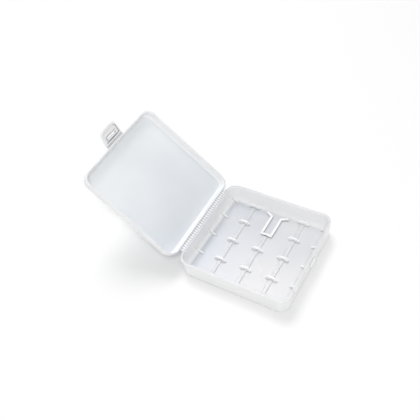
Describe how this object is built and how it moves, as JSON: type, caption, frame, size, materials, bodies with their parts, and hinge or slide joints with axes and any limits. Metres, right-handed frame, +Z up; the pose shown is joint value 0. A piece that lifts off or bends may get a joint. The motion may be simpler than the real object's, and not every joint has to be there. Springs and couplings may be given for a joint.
{
  "type": "battery storage case",
  "caption": "Square hinged-lid plastic case with cradle fins for four round cells and a latch flap.",
  "frame": {"origin": "centre of the tray's flat underside", "axes": "+Z up out of the tray; +X from the lid's hinge towards the latch catch; +Y along the hinge and the cells"},
  "size_m": [0.1477, 0.076, 0.0754],
  "materials": {
    "frosted_polypropylene": "frosted translucent",
    "hinge_web": "thin, clearer translucent"
  },
  "bodies": {
    "tray": {"bracket_cross_bar": "frosted_polypropylene", "bracket_rail_hinge_side": "frosted_polypropylene", "bracket_rail_latch_side": "frosted_polypropylene", "cell_ridge_1": "frosted_polypropylene", "cell_ridge_2": "frosted_polypropylene", "cell_ridge_3": "frosted_polypropylene", "hinge_wall_fin_1": "frosted_polypropylene", "hinge_wall_fin_2": "frosted_polypropylene", "hinge_wall_fin_3": "frosted_polypropylene", "hinge_wall_fin_4": "frosted_polypropylene", "hinge_wall_fin_5": "frosted_polypropylene", "latch_catch": "frosted_polypropylene", "latch_wall_fin_1": "frosted_polypropylene", "latch_wall_fin_2": "frosted_polypropylene", "latch_wall_fin_3": "frosted_polypropylene", "latch_wall_fin_4": "frosted_polypropylene", "latch_wall_fin_5": "frosted_polypropylene", "lid_living_hinge": "hinge_web", "ridge_1_fin_1": "frosted_polypropylene", "ridge_1_fin_2": "frosted_polypropylene", "ridge_1_fin_3": "frosted_polypropylene", "ridge_1_fin_4": "frosted_polypropylene", "ridge_1_fin_5": "frosted_polypropylene", "ridge_2_fin_1": "frosted_polypropylene", "ridge_2_fin_2": "frosted_polypropylene", "ridge_2_fin_3": "frosted_polypropylene", "ridge_3_fin_1": "frosted_polypropylene", "ridge_3_fin_2": "frosted_polypropylene", "ridge_3_fin_3": "frosted_polypropylene", "ridge_3_fin_4": "frosted_polypropylene", "ridge_3_fin_5": "frosted_polypropylene", "tray_shell": "frosted_polypropylene"},
    "lid": {"lid_shell": "frosted_polypropylene", "latch_living_hinge": "hinge_web"},
    "latch": {"latch_plate": "frosted_polypropylene", "latch_lip": "frosted_polypropylene"}
  },
  "joints": [
    {"name": "lid_hinge", "type": "hinge", "parent": "tray", "child": "lid", "pos_m": [-0.03985, 0, 0.01435], "axis": [0, -1, 0], "range_deg": [-140.3, 39.7], "deforming": ["lid_living_hinge"]},
    {"name": "latch_hinge", "type": "hinge", "parent": "lid", "child": "latch", "pos_m": [-0.10155, 0, 0.06473], "axis": [0, 1, 0], "range_deg": [-74, 61], "deforming": ["latch_living_hinge"]}
  ]
}
